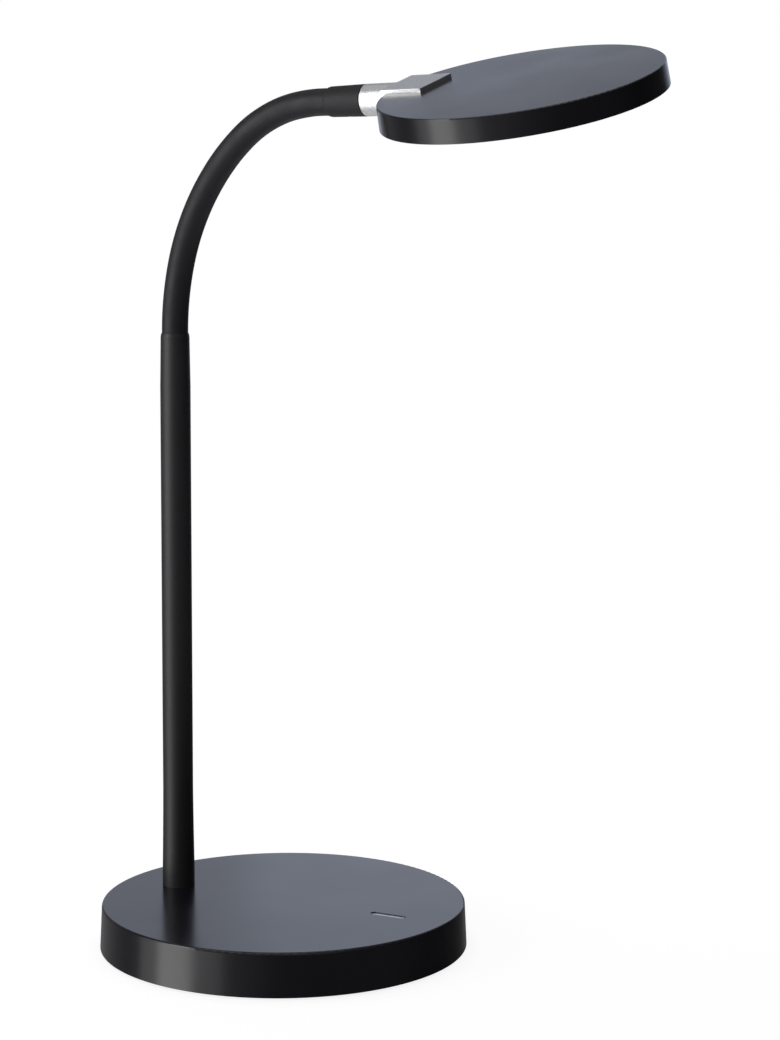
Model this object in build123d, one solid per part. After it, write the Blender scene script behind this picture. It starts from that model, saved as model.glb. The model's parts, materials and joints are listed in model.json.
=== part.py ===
from build123d import *
from math import cos, degrees, radians, sin, sqrt
import os

# Round-base LED desk lamp on a bendable neck. Millimetres, +Z up, +X towards the touch bar,
# origin at the middle of the base's pad, on the table.

past = 1.0  # how far a cut runs past the face that it opens
hole_fit = 0.2  # between a screw and the hole that it passes through

# ---- base housing (moulded) ----
base_d = 184.0  # across the lower edge
base_draft = 1.0  # the side leans in by this much at the top
base_h = 21.55
base_wall = 2.2
base_edge_r = 1.2
floor_gap = 1.0  # housing's lower edge above the table
bottom_t = 2.4  # bottom cover
bottom_fit = 0.25
pad_land = 4.35  # ring of the bottom cover outside the pad
pad_t = 1.5
pad_fit = 0.3
bottom_screws = 4
bottom_screw_inset = 9.6  # from the inside of the housing
bottom_screw_at = 45.0
bottom_boss_d = 7.0
bottom_screw_d = 2.6
bottom_head_d = 5.0
bottom_head_h = 1.2
bottom_screw_l = 9.0
bottom_pilot_l = 10.0  # hole in the boss for the screw
# ---- weight inside the base (cast iron) ----
weight_d = 150.0
weight_t = 9.6
weight_below = 0.4  # room between the weight and the bottom cover
weight_edge = 1.0  # chamfer
weight_boss_d = 9.0  # bosses that the weight hangs from
weight_boss_gap = 1.0  # room round the bottom cover's bosses
weight_screws = 3
weight_screw_r = 45.0
weight_screw_at = 30.0  # first screw, degrees from +X
weight_screw_d = 4.0
weight_head_d = 7.6
weight_head_h = 2.2
weight_grip = 3.0  # thread in the boss
weight_pilot_l = 3.6
weight_notch_gap = 3.2  # from the driver board to the slot that clears it
# ---- touch bar in the top ----
touch_inset = 32.8  # from the base's lower edge to the bar's middle
touch_l = 19.1  # length of the recess
touch_w = 4.0
touch_depth = 0.9
touch_bar_t = 0.4
touch_fit = 0.15
tongue_l = 15.0
tongue_w = 1.6
tongue_below = 0.8  # tongue's end below the ceiling
touch_board_l = 26.0
touch_board_w = 12.0
touch_board_t = 1.0
touch_boss_h = 3.6
touch_boss_d = 4.6
touch_screw_d = 1.6
touch_head_d = 3.2
touch_head_h = 1.2
touch_grip = 2.0  # thread in the boss
touch_pilot_l = 3.2
chip_size = (5.0, 4.0, 1.3)  # touch chip
spring_d = 3.0
spring_wire = 0.4
# ---- driver board and power inlet ----
board_l = 62.0
board_w = 24.0
board_t = 1.6
board_z_gap = 1.0  # standoff height on the bottom cover
board_wall_gap = 1.6  # from the board's end to the inside of the housing
post_d = 6.0
post_inset = 3.6
board_screw_d = 1.8
board_head_d = 3.6
board_head_h = 1.2
jack_l = 14.4
jack_w = 9.0
jack_h = 11.0
jack_axis_h = 6.5  # barrel's middle above the board
jack_bore_d = 6.3
jack_bore_l = 10.0
jack_pin_d = 2.1
jack_pin_back = 1.2  # pin's tip behind the jack's face
jack_pin_edge = 0.3
jack_wall_gap = 0.4
inlet_d = 8.0  # opening in the housing
jack_edge = 1.0  # chamfer along the jack's top
contact_w = 1.8
contact_t = 0.3
contact_in = 3.0  # behind the jack's face
contact_lift = 0.55  # strip's lower face above the barrel's floor, at its middle
plug_block = (6.0, 7.5, 5.0)  # lamp lead's connector on the board
plug_run = 8.0  # lead's straight run into the connector
choke_d = 6.0
choke_h = 4.6
capacitor_d = 5.0
capacitor_h = 5.0
parts_y = 5.6  # choke and capacitor on either side of the board's middle
parts_gap = 1.5  # from the connector to the choke
driver_chip_size = (5.0, 4.0, 1.5)
film_capacitor_size = (6.0, 5.0, 3.0)
diode_size = (4.5, 2.8, 2.2)
edge_room = 2.3  # from the film capacitor and the diode to the board's edge
# ---- pole (swaged steel tube) ----
pole_inset = 29.95  # from the base's lower edge to the pole's axis
pole_d = 15.3
pole_bore = 13.0
pole_foot_d = 16.4
pole_foot_h = 8.0  # straight part of the flare
pole_flare_h = 50.0  # flare's full height
flare_dish = 0.38  # share of the flare left at half its height
pole_top_z = 305.9
pole_top_d = 14.6
pole_taper_h = 26.3
pole_shoulder_l = 2.5  # rounding at the top
foot_seat = 0.4  # the pole stands in a recess this deep
foot_fit = 0.2
# ---- stem and nut that hold the pole ----
stem_plug_l = 20.0
stem_d = 10.0
stem_bore = 5.5
stem_below_nut = 0.5
stem_fit = 0.2
plate_d = 34.0
plate_t = 1.5
lock_d = 18.0
lock_t = 0.8
nut_af = 14.0
nut_t = 3.5
nut_edge = 0.6
nut_crown = 1.14  # corner's cut against half the width across flats
# ---- bendable neck ----
neck_arcs = [(146.5, 14.1), (120.6, 34.0), (73.9, 40.0)]  # radius, turn in degrees, from the pole up
neck_straight = 7.4  # sleeve between the last arc and the ferrule
hose_d = 9.4
hose_bore = 5.0
turn_pitch = 3.2  # windings of the hose
turn_depth = 0.55
collar_l = 3.2  # plain end of a link
hinge_gap = 0.3
neck_hinges = 9
bend_step = 13.0  # how far one hinge bends each way
sway_step = 12.0
hinge_margin = 1.0
sleeve_d = 13.25
sleeve_bore = 11.0
mouth_depth = 6.0  # how far the sleeve goes into the pole and the ferrule
mouth_fit = 0.05
mouth_lip = 0.2  # flat ring round the sleeve at either mouth
socket_l = 22.0  # steel socket for the hose in the pole
hose_fit = 0.2
hose_in = 14.0  # length of hose in the socket
hose_end_gap = 0.3  # from the hose's end to the socket's floor
ferrule_hose_in = 9.8  # length of hose in the ferrule, behind the sleeve
arm_turn = -5.8  # the arm's plane against the base's middle plane
# ---- ferrule and swivel ----
ferrule_d = 15.5
ferrule_mouth_d = 14.75
ferrule_l = 21.5
ferrule_shoulder_l = 2.0  # rounding at the mouth
ferrule_wall = 3.0  # end wall that the stud turns in
grub_d = 3.0
grub_in = 11.0  # from the ferrule's mouth
grub_touch = 0.02  # screw's end from the hose
grub_sunk = 0.5
swivel_gap = 0.3
stud_d = 7.0
stud_bore = 4.2
stud_fit = 0.05
stud_flange_d = 9.4
stud_flange_t = 1.2
stud_in = 8.0  # thread in the bracket
washer_t = 0.5
washer_gap = 0.1
# ---- bracket (die-cast) ----
boss_l = 17.8  # round part, from the ferrule to the bracket's plate
boss_edge_r = 0.3
boss_root = 1.5  # round part carries on under the plate
tab_w = 28.3
tab_l = 22.2
tab_t = 1.8
tab_corner_r = 0.3
tab_screw_d = 2.0
tab_head_d = 4.0
tab_head_h = 1.4
tab_skin = 0.6  # left over the screw's tip
spigot_d = 7.0
spigot_in = 1.2  # past the inside of the head's wall
spigot_fit = 0.1
tab_screw_y = 9.0
tab_screw_in = 12.0
# ---- lamp head ----
head_roll = 15.4  # how the head stands turned on the arm
head_d = 134.5
head_draft = 0.4
head_t = 11.5
head_edge_x = 18.4  # ferrule's end to the head's near edge
head_wall = 2.0
head_top_t = 1.6
head_edge_r = 0.6
head_seat = 0.05
pan_t = 0.8
pan_inset = 0.5  # pan's edge inside the diffuser's
pan_rim_w = 2.5
pan_screws = 4
pan_screw_r = 42.0
pan_screw_at = 45.0
pan_boss_d = 6.0
pan_screw_d = 1.8
pan_head_d = 3.4
pan_head_h = 0.25
pan_grip = 2.6  # thread in the boss
pan_skin = 1.2  # left over the screw's hole
reflector_t = 0.3
guide_t = 2.7
strip_t = 0.5
strip_h = 2.6
chip_n = 36
chip_l = 2.8
chip_w = 1.4
chip_t = 0.8
terminal_w = 4.6
terminal_l = 3.2
terminal_below = 1.5  # block's faces from the lead's axis
terminal_above = 0.8
terminal_fit = 0.3
chip_fit = 0.02
diffuser_gap = 1.0  # from the bezel's hooks to the diffuser's edge
diffuser_t = 1.3
bezel_t = 1.2
bezel_fit = 0.2
bezel_lap = 0.2  # bezel's inner edge inside the light guide's
bezel_edge = 0.5  # chamfer
hook_n = 6
hook_w = 8.0
hook_t = 0.8
hook_barb = 0.35
hook_barb_h = 0.7
hook_l = 3.6
groove_h = 1.0
groove_fit = 0.15
stack_gap = 0.1
# ---- leads held inside ----
lead_d = 2.4
lead_bend_r = 7.2
lead_lift = 0.3  # lead's room over the driver board
touch_lead_d = 1.2
touch_lead_r = 4.0
touch_lead_in = 3.0  # from the touch board's end
touch_lead_out = 1.2  # from the driver board's end

# ---- levels and places that follow ----
z_low = floor_gap
z_top = floor_gap + base_h
z_ceiling = z_top - base_wall
z_bottom = z_low + bottom_t
z_weight = z_bottom + weight_below
z_weight_top = z_weight + weight_t
z_board = z_bottom + board_z_gap + board_t
z_plate = z_ceiling - plate_t
z_lock = z_plate - lock_t
z_nut = z_lock - nut_t
z_stem = z_nut - stem_below_nut
z_lead = z_board + lead_lift + lead_d / 2
z_touch_board = z_ceiling - touch_boss_h
touch_x = base_d / 2 - touch_inset
pole_x = pole_inset - base_d / 2
base_inner_r = base_d / 2 - base_wall  # at the lower edge
pad_d = 2 * (base_inner_r - bottom_fit - pad_land)
bottom_screw_r = base_inner_r - bottom_screw_inset
board_x0 = board_wall_gap - base_inner_r
board_x1 = board_x0 + board_l
plug_x0 = pole_x + lead_bend_r + plug_run
plug_x1 = plug_x0 + plug_block[0]
jack_z = z_board + jack_axis_h
jack_reach = base_inner_r - base_draft * (z_board + jack_h - z_low) / base_h  # wall beside the jack's top
jack_x0 = jack_wall_gap - sqrt(jack_reach**2 - (jack_w / 2) ** 2)
head_x = head_edge_x + head_d / 2
head_n = ferrule_d / 2 - tab_t  # head's top above the arm's axis: the plate is flush with the boss
bezel_n = head_n - head_t + bezel_t  # upper faces of the stack, from the bezel up
diffuser_n = bezel_n + stack_gap + diffuser_t
guide_n = diffuser_n + stack_gap + guide_t
pan_n = guide_n + reflector_t + stack_gap + pan_t
pan_gap = head_n - head_top_t - pan_n  # under the top wall
pan_rim_h = pan_n - pan_t - diffuser_n
hook_n_top = bezel_n + hook_l
bezel_r = head_d / 2 - head_wall - bezel_fit  # outer radii of the stack, from the bezel in
diffuser_r = bezel_r - hook_t - diffuser_gap
pan_r = diffuser_r - pan_inset
strip_r = pan_r - pan_rim_w - strip_t
guide_r = strip_r - chip_t - 2 * stack_gap
grub_x = grub_in - ferrule_l
arm = Location((pole_x, 0, 0), (0, 0, arm_turn))


def disc(d, t, z):
    """A disc whose lower face is at z."""
    return Pos(0, 0, z) * Cylinder(d / 2, t, align=(Align.CENTER, Align.CENTER, Align.MIN))


def ring(d, bore, t, z):
    return disc(d, t, z) - disc(bore, t + 2 * past, z - past)


def block(x0, x1, y0, y1, z0, z1):
    low = (Align.MIN, Align.MIN, Align.MIN)
    return Pos(x0, y0, z0) * Box(x1 - x0, y1 - y0, z1 - z0, align=low)


def seated(size):
    """Block on z = 0, centred above it."""
    return Box(*size, align=(Align.CENTER, Align.CENTER, Align.MIN))


def turned_lines(*lines):
    """Solid turned about Z from lines that close one outline of radius and height."""
    edges = [edge for line in lines for edge in line.edges()]
    return revolve(Plane.XZ * make_face(edges), Axis.Z)


def turned(points):
    """Solid turned about Z from (radius, height) points."""
    return turned_lines(Polyline(*points, close=True))


def around(count, radius, start=0.0):
    """Places on a pitch circle."""
    return [Rot(0, 0, start + 360.0 * k / count) * Pos(radius, 0, 0) for k in range(count)]


def rims(solid):
    """Round edges of a solid, from the lowest up."""
    return solid.edges().filter_by(GeomType.CIRCLE).sort_by(Axis.Z)


def sunk_screw(d, head_d, head_h, length):
    """Countersunk screw with its head's face at z = 0 and its tip up at z = length."""
    r, rh = d / 2, head_d / 2
    return turned([(0, 0), (rh, 0), (r, head_h), (r, length), (0, length)])


def sunk_hole(d, head_d, head_h, length):
    """Hole round such a screw, open below its head."""
    r, rh = d / 2 + hole_fit, head_d / 2 + hole_fit
    return turned([(0, -past), (rh, -past), (rh, 0), (r, head_h), (r, length), (0, length)])


def flat_screw(d, head_d, head_h, grip):
    """Flat-headed screw that points up, with the underside of its head at z = 0."""
    r, rh = d / 2, head_d / 2
    return turned([(0, -head_h), (rh, -head_h), (rh, 0), (r, 0), (r, grip), (0, grip)])


def boss(d, pilot_d, pilot_l, z0, z1):
    """Boss under a wall, with a blind hole up from its end."""
    return disc(d, z1 - z0, z0) - disc(pilot_d, pilot_l + past, z0 - past)


def along_x(solid):
    """Stand a part turned about Z along +X instead."""
    return Rot(0, 90, 0) * solid


# ---- neck centreline, in the arm's plane: x out from the pole, z up ----
def centreline_at(length):
    """Point and lean on the centreline at a length from the pole's top."""
    x, z, lean = 0.0, pole_top_z, 0.0
    for radius, turn in neck_arcs:
        arc = radius * radians(turn)
        part = min(length, arc)
        a, b = radians(lean), radians(lean) + part / radius
        x += radius * (cos(a) - cos(b))
        z += radius * (sin(b) - sin(a))
        lean = degrees(b)
        length -= part
        if length <= 0:
            return x, z, lean
    return x + length * sin(radians(lean)), z + length * cos(radians(lean)), lean


neck_l = sum(radius * radians(turn) for radius, turn in neck_arcs) + neck_straight
tip_x, tip_z, end_lean = centreline_at(neck_l + ferrule_l)
end_rise = 90.0 - end_lean
tip = arm * Location((tip_x, 0, tip_z), (0, -end_rise, 0))
head = tip * Location((0, 0, 0), (head_roll, 0, 0))
lamp = head * Pos(head_x, 0, 0)


def neck_path(before, after):
    """Centreline from below the pole's top to past the ferrule's mouth."""
    path = [Line((0, pole_top_z - before), (0, pole_top_z))]
    for radius, turn in neck_arcs:
        path.append(JernArc(path[-1] @ 1, path[-1] % 1, radius, -turn))
    end = path[-1] @ 1
    path.append(Line(end, end + (path[-1] % 1) * (neck_straight + after)))
    return Plane.XZ * Wire([e for part in path for e in part.edges()])


# ---- base ----
def base_cover():
    r1, r0 = base_d / 2 - base_draft, base_d / 2
    shell = turned([(0, z_low), (r0, z_low), (r1, z_top), (0, z_top)])
    shell = fillet(rims(shell)[-1], base_edge_r)
    lean = base_draft / base_h
    low, high = base_inner_r + lean * past, base_inner_r - lean * (z_ceiling - z_low)
    shell -= turned([(0, z_low - past), (low, z_low - past), (high, z_ceiling), (0, z_ceiling)])
    for place in around(bottom_screws, bottom_screw_r, bottom_screw_at):
        shell += place * boss(bottom_boss_d, bottom_screw_d, bottom_pilot_l, z_bottom, z_ceiling)
    for place in around(weight_screws, weight_screw_r, weight_screw_at):
        shell += place * boss(weight_boss_d, weight_screw_d, weight_pilot_l, z_weight_top, z_ceiling)
    for place in touch_screw_places():
        shell += place * boss(touch_boss_d, touch_screw_d, touch_pilot_l, z_touch_board, z_ceiling)
    recess = extrude(SlotOverall(touch_l, touch_w), touch_depth + past)
    shell -= Pos(touch_x, 0, z_top - touch_depth) * recess
    slot = SlotOverall(tongue_l + 2 * touch_fit, tongue_w + 2 * touch_fit)
    shell -= Pos(touch_x, 0, z_ceiling - past) * extrude(slot, base_wall + past)
    shell -= Pos(pole_x, 0, 0) * disc(stem_d + 2 * stem_fit, base_wall + 2 * past, z_ceiling - past)
    shell -= Pos(pole_x, 0, 0) * disc(pole_foot_d + 2 * foot_fit, foot_seat + past, z_top - foot_seat)
    inlet = Cylinder(inlet_d / 2, 2 * (base_draft + base_wall + past))
    return shell - Pos(-base_d / 2, 0, jack_z) * along_x(inlet)


def base_bottom():
    plate = disc(2 * (base_inner_r - bottom_fit), bottom_t, z_low)
    plate -= disc(pad_d + 2 * pad_fit, pad_t - floor_gap + past, z_low - past)
    for place in around(bottom_screws, bottom_screw_r, bottom_screw_at):
        hole = sunk_hole(bottom_screw_d, bottom_head_d, bottom_head_h, bottom_t + past)
        plate -= place * Pos(0, 0, pad_t) * hole
    for x, y in board_posts():
        post = boss(post_d, board_screw_d, board_z_gap, z_bottom, z_board - board_t)
        plate += Pos(x, y, 0) * post
    return plate


def board_posts():
    xs = (board_x0 + post_inset, board_x1 - post_inset)
    ys = (board_w / 2 - post_inset, post_inset - board_w / 2)
    return [(x, y) for x in xs for y in ys]


def touch_screw_places():
    x, y = (touch_board_l - touch_boss_d) / 2, (touch_board_w - touch_boss_d) / 2
    return [Pos(touch_x - x, y, 0), Pos(touch_x + x, -y, 0)]


def base_pad():
    return disc(pad_d, pad_t, 0)


def bottom_screw_set():
    one = Pos(0, 0, pad_t) * sunk_screw(bottom_screw_d, bottom_head_d, bottom_head_h, bottom_screw_l)
    return [place * one for place in around(bottom_screws, bottom_screw_r, bottom_screw_at)]


def weight():
    body = disc(weight_d, weight_t, z_weight)
    body = chamfer(rims(body), weight_edge)
    end, half = board_x1 + weight_notch_gap, board_w / 2 + weight_notch_gap
    body -= block(-weight_d, end, -half, half, z_weight - past, z_weight_top + past)
    for place in around(bottom_screws, bottom_screw_r, bottom_screw_at):
        body -= place * disc(bottom_boss_d + 2 * weight_boss_gap, weight_t + 2 * past, z_weight - past)
    for place in around(weight_screws, weight_screw_r, weight_screw_at):
        hole = sunk_hole(weight_screw_d, weight_head_d, weight_head_h, weight_t + past)
        body -= place * Pos(0, 0, z_weight) * hole
    return body


def weight_screw_set():
    length = weight_t + weight_grip
    one = Pos(0, 0, z_weight) * sunk_screw(weight_screw_d, weight_head_d, weight_head_h, length)
    return [place * one for place in around(weight_screws, weight_screw_r, weight_screw_at)]


# ---- touch bar and its board ----
def touch_bar():
    top = z_top - touch_depth
    pill = extrude(SlotOverall(touch_l - 2 * touch_fit, touch_w - 2 * touch_fit), touch_bar_t)
    drop = top - (z_ceiling - tongue_below)
    tongue = Pos(0, 0, -drop) * extrude(SlotOverall(tongue_l, tongue_w), drop)
    return Pos(touch_x, 0, top) * (pill + tongue)


def touch_board():
    z = z_touch_board - touch_board_t
    half_l, half_w = touch_board_l / 2, touch_board_w / 2
    board = block(touch_x - half_l, touch_x + half_l, -half_w, half_w, z, z_touch_board)
    for place in touch_screw_places():
        board -= place * disc(touch_screw_d + 2 * hole_fit, touch_board_t + 2 * past, z - past)
    return board


def touch_chip():
    l, w, h = chip_size
    z = z_touch_board - touch_board_t
    return Pos(touch_x, 0, 0) * block(-l / 2, l / 2, -w / 2, w / 2, z - h, z)


def touch_springs():
    height = z_ceiling - tongue_below - z_touch_board
    one = ring(spring_d, spring_d - 2 * spring_wire, height, z_touch_board)
    return [Pos(touch_x + side * tongue_l / 4, 0, 0) * one for side in (-1, 1)]


def touch_screws():
    one = flat_screw(touch_screw_d, touch_head_d, touch_head_h, touch_board_t + touch_grip)
    return [place * Pos(0, 0, z_touch_board - touch_board_t) * one for place in touch_screw_places()]


# ---- driver board and inlet ----
def driver_board():
    half = board_w / 2
    board = block(board_x0, board_x1, -half, half, z_board - board_t, z_board)
    hole = disc(board_screw_d + 2 * hole_fit, board_t + 2 * past, z_board - board_t - past)
    for x, y in board_posts():
        board -= Pos(x, y, 0) * hole
    return board


def board_screws():
    one = Rot(180, 0, 0) * flat_screw(board_screw_d, board_head_d, board_head_h, z_board - z_bottom)
    return [Pos(x, y, z_board) * one for x, y in board_posts()]


def jack_body():
    half = jack_w / 2
    body = block(jack_x0, jack_x0 + jack_l, -half, half, z_board, z_board + jack_h)
    body = chamfer(body.edges().filter_by(Axis.X).group_by(Axis.Z)[-1], jack_edge)
    bore = Cylinder(jack_bore_d / 2, jack_bore_l + past, align=(Align.CENTER, Align.CENTER, Align.MIN))
    return body - Pos(jack_x0 - past, 0, jack_z) * along_x(bore)


def jack_pin():
    length = jack_bore_l - jack_pin_back
    r = jack_pin_d / 2
    pin = turned([(0, 0), (r - jack_pin_edge, 0), (r, 2 * jack_pin_edge), (r, length), (0, length)])
    return Pos(jack_x0 + jack_pin_back, 0, jack_z) * along_x(pin)


def jack_contact():
    """Spring strip along the barrel's floor."""
    z = jack_z - jack_bore_d / 2 + contact_lift
    half = contact_w / 2
    return block(jack_x0 + contact_in, jack_x0 + jack_bore_l, -half, half, z, z + contact_t)


def lead_plug():
    """Connector that the lamp lead goes into."""
    half = plug_block[1] / 2
    return block(plug_x0, plug_x1, -half, half, z_board, z_board + plug_block[2])


def board_parts():
    """Choke, two capacitors, the driver chip and a diode."""
    x = plug_x1 + parts_gap + choke_d / 2
    side = board_w / 2 - edge_room
    choke = Pos(x, parts_y, 0) * disc(choke_d, choke_h, z_board)
    capacitor = Pos(x, -parts_y, 0) * disc(capacitor_d, capacitor_h, z_board)
    driver_chip = Pos(x, 0, z_board) * seated(driver_chip_size)
    film_capacitor = Pos(pole_x, side - film_capacitor_size[1] / 2, z_board) * seated(film_capacitor_size)
    diode = Pos(pole_x, diode_size[1] / 2 - side, z_board) * seated(diode_size)
    return [choke, capacitor, driver_chip, film_capacitor, diode]


# ---- pole ----
def pole_tube():
    r, rf, rt, rb = pole_d / 2, pole_foot_d / 2, pole_top_d / 2, pole_bore / 2
    z0 = z_top - foot_seat
    mouth, seat = sleeve_d / 2 + mouth_fit, pole_top_z - mouth_depth
    low, high = (rf, z_top + pole_foot_h), (r, z_top + pole_flare_h)
    mid = (r + flare_dish * (rf - r), (low[1] + high[1]) / 2)
    taper, shoulder = (r, pole_top_z - pole_taper_h), (rt, pole_top_z - pole_shoulder_l)
    lip = (mouth + mouth_lip, pole_top_z)
    flare = ThreePointArc(low, mid, high)
    side = Polyline(high, taper, shoulder)
    rounding = TangentArc(shoulder, lip, tangent=(0, 1))
    inside = Polyline(lip, (mouth, pole_top_z), (mouth, seat), (rb, seat), (rb, z0), (rf, z0), low)
    return Pos(pole_x, 0, 0) * turned_lines(flare, side, rounding, inside)


def pole_stem():
    """Plug in the pole's foot with a hollow threaded end through the housing."""
    z0 = z_top - foot_seat
    z1 = z0 + stem_plug_l
    r, rt, rb = pole_bore / 2, stem_d / 2, stem_bore / 2
    return Pos(pole_x, 0, 0) * turned([(rb, z_stem), (rt, z_stem), (rt, z0), (r, z0), (r, z1), (rb, z1)])


def pole_plate():
    return Pos(pole_x, 0, 0) * ring(plate_d, stem_d + 2 * stem_fit, plate_t, z_plate)


def lock_washer():
    return Pos(pole_x, 0, 0) * ring(lock_d, stem_d + 2 * stem_fit, lock_t, z_lock)


def pole_nut():
    blank = Pos(0, 0, z_nut) * extrude(RegularPolygon(nut_af / 2, 6, major_radius=False), nut_t)
    r = nut_af / 2 * nut_crown
    z1, z2 = z_nut + nut_edge, z_nut + nut_t
    blank &= turned([(0, z_nut), (r - nut_edge, z_nut), (r, z1), (r, z2), (0, z2)])
    return Pos(pole_x, 0, 0) * (blank - disc(stem_d, nut_t + 2 * past, z_nut - past))


def neck_socket():
    """Steel socket in the pole's top that grips the hose."""
    top = pole_top_z - mouth_depth
    r, rh, rb = pole_bore / 2, hose_d / 2 + hose_fit, hose_bore / 2
    floor = top - hose_in
    z0 = top - socket_l
    socket = [(rb, z0), (r, z0), (r, top), (rh, top), (rh, floor), (rb, floor)]
    return Pos(pole_x, 0, 0) * turned(socket)


# ---- neck ----
def hinge_points():
    """Hinges at even lengths along the centreline, half a link from either end."""
    step = neck_l / neck_hinges
    return [centreline_at((k + 0.5) * step) for k in range(neck_hinges)]


def link_ends():
    """Ends of the straight links: into the pole, hinge by hinge, into the ferrule."""
    low = (0.0, pole_top_z - mouth_depth - hose_in + hose_end_gap)
    x, z, lean = centreline_at(neck_l + mouth_depth + ferrule_hose_in)
    return [low] + [(p[0], p[1]) for p in hinge_points()] + [(x, z)]


def is_bend(k):
    """Hinges take turns: the first bends the neck, the next sways it."""
    return k % 2 == 0


def wound_link(length):
    """Hose turned about Z: plain collars at its ends and windings between."""
    r, rb = hose_d / 2, hose_bore / 2
    turns = int((length - 2 * collar_l) / turn_pitch)
    pitch = (length - 2 * collar_l) / turns
    outer = [(rb, 0), (r, 0)]
    for k in range(turns):
        z = collar_l + k * pitch
        outer += [(r, z), (r - turn_depth, z + pitch / 2)]
    outer += [(r, length - collar_l), (r, length), (rb, length)]
    return turned(outer)


def half_space(at, across, tilt, hinge_axis):
    """Block beyond a plane through a hinge, square to `across` and tilted about the hinge's axis."""
    facing = across.rotate(Axis((0, 0, 0), hinge_axis), tilt)
    place = Plane(origin=at - across * (hinge_gap / 2), z_dir=facing)
    big = 4 * hose_d
    return place * Box(big, big, big, align=(Align.CENTER, Align.CENTER, Align.MIN))


def hinge_frame(k):
    """Hinge k in the arm's frame: its point, the direction up the neck and the hinge's axis."""
    low, at, high = [Vector(x, 0, z) for x, z in link_ends()[k : k + 3]]
    across = ((at - low).normalized() + (high - at).normalized()).normalized()
    side = Vector(0, 1, 0)
    return at, across, side if is_bend(k) else side.cross(across)


def trim(link, k, sign):
    """Roof-shaped end at hinge k, so that the links roll on its ridge."""
    at, across, axis = hinge_frame(k)
    step = ((bend_step if is_bend(k) else sway_step) + hinge_margin) / 2
    for tilt in (-step, step):
        link -= half_space(at, across * sign, tilt, axis)
    return link


def neck_part(k):
    """Part k of the hose, 0 in the pole's socket and the last in the ferrule."""
    (x0, z0), (x1, z1) = link_ends()[k : k + 2]
    first, last = k == 0, k == neck_hinges
    d = Vector(x1 - x0, 0, z1 - z0)
    length = d.length + (0 if first else hinge_gap) + (0 if last else hinge_gap)
    d = d.normalized()
    start = Vector(x0, 0, z0) - d * (0 if first else hinge_gap)
    link = Plane(origin=start, x_dir=(0, 1, 0), z_dir=d) * wound_link(length)
    if not first:
        link = trim(link, k - 1, -1)
    if not last:
        link = trim(link, k, 1)
    return arm * link


def neck_sleeve():
    path = neck_path(mouth_depth - stack_gap, mouth_depth - stack_gap)
    section = Circle(sleeve_d / 2) - Circle(sleeve_bore / 2)
    return arm * sweep((path ^ 0) * section, path=path)


# ---- ferrule and swivel, along the arm's axis with the ferrule's end at x = 0 ----
def head_ferrule():
    r0, r1 = ferrule_mouth_d / 2, ferrule_d / 2
    mouth, rh, rs = sleeve_d / 2 + mouth_fit, hose_d / 2 + hose_fit, stud_d / 2 + stud_fit
    x0, x1 = -ferrule_l, -swivel_gap
    wall, seat = x1 - ferrule_wall, x0 + mouth_depth
    lip, shoulder = (mouth + mouth_lip, x0), (r0, x0 + ferrule_shoulder_l)
    rounding = TangentArc(shoulder, lip, tangent=(0, -1))
    outside = Polyline(shoulder, (r1, x1), (rs, x1), (rs, wall))
    inside = Polyline((rs, wall), (rh, wall), (rh, seat), (mouth, seat), (mouth, x0), lip)
    body = turned_lines(rounding, outside, inside)
    body = fillet(rims(body).group_by(Axis.Z)[-1].sort_by(SortBy.RADIUS)[-1], boss_edge_r)
    hole = Cylinder(grub_d / 2, ferrule_d, align=(Align.CENTER, Align.CENTER, Align.MIN))
    return tip * (along_x(body) - Pos(grub_x, 0, -ferrule_d) * hole)


def grub_screw():
    """Set screw under the ferrule that holds the hose."""
    r = hose_d / 2 + grub_touch
    length = ferrule_d / 2 - r - grub_sunk
    return tip * Pos(grub_x, 0, -r - length) * disc(grub_d, length, 0)


def swivel_stud():
    x_wall = -swivel_gap - ferrule_wall
    x0 = x_wall - washer_gap - washer_t - stud_flange_t
    rf, r, rb = stud_flange_d / 2, stud_d / 2, stud_bore / 2
    x1 = x0 + stud_flange_t
    stud = turned([(rb, x0), (rf, x0), (rf, x1), (r, x1), (r, stud_in), (rb, stud_in)])
    return head * along_x(stud)


def swivel_washer():
    x1 = -swivel_gap - ferrule_wall - washer_gap
    return head * along_x(ring(stud_flange_d, stud_d, washer_t, x1 - washer_t))


# ---- head, in its own frame: x along the arm, z square to the disc ----
def tab_screw_places():
    return [Pos(boss_l + tab_screw_in, y, 0) for y in (-tab_screw_y, tab_screw_y)]


def head_bracket():
    barrel = disc(ferrule_d, boss_l + boss_root, 0)
    barrel = along_x(fillet(rims(barrel)[0], boss_edge_r))
    tab = extrude(RectangleRounded(tab_l, tab_w, tab_corner_r), tab_t)
    seat = disc(head_d + 2 * (head_draft + head_seat), head_n + ferrule_d, -ferrule_d)
    bracket = barrel - Pos(head_x, 0, 0) * seat + Pos(boss_l + tab_l / 2, 0, head_n) * tab
    spigot_l = head_edge_x + head_wall + spigot_in
    bracket += along_x(disc(spigot_d, spigot_l, 0))
    bracket -= along_x(disc(stud_d, stud_in + past, -past))
    bracket -= along_x(disc(stud_bore, spigot_l + 2 * past, -past))
    for place in tab_screw_places():
        bracket -= place * disc(tab_screw_d, tab_t - tab_skin + past, head_n - past)
    return head * bracket


def tab_screws():
    one = flat_screw(tab_screw_d, tab_head_d, tab_head_h, head_top_t + tab_t - tab_skin - stack_gap)
    return [head * place * Pos(0, 0, head_n - head_top_t) * one for place in tab_screw_places()]


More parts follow.
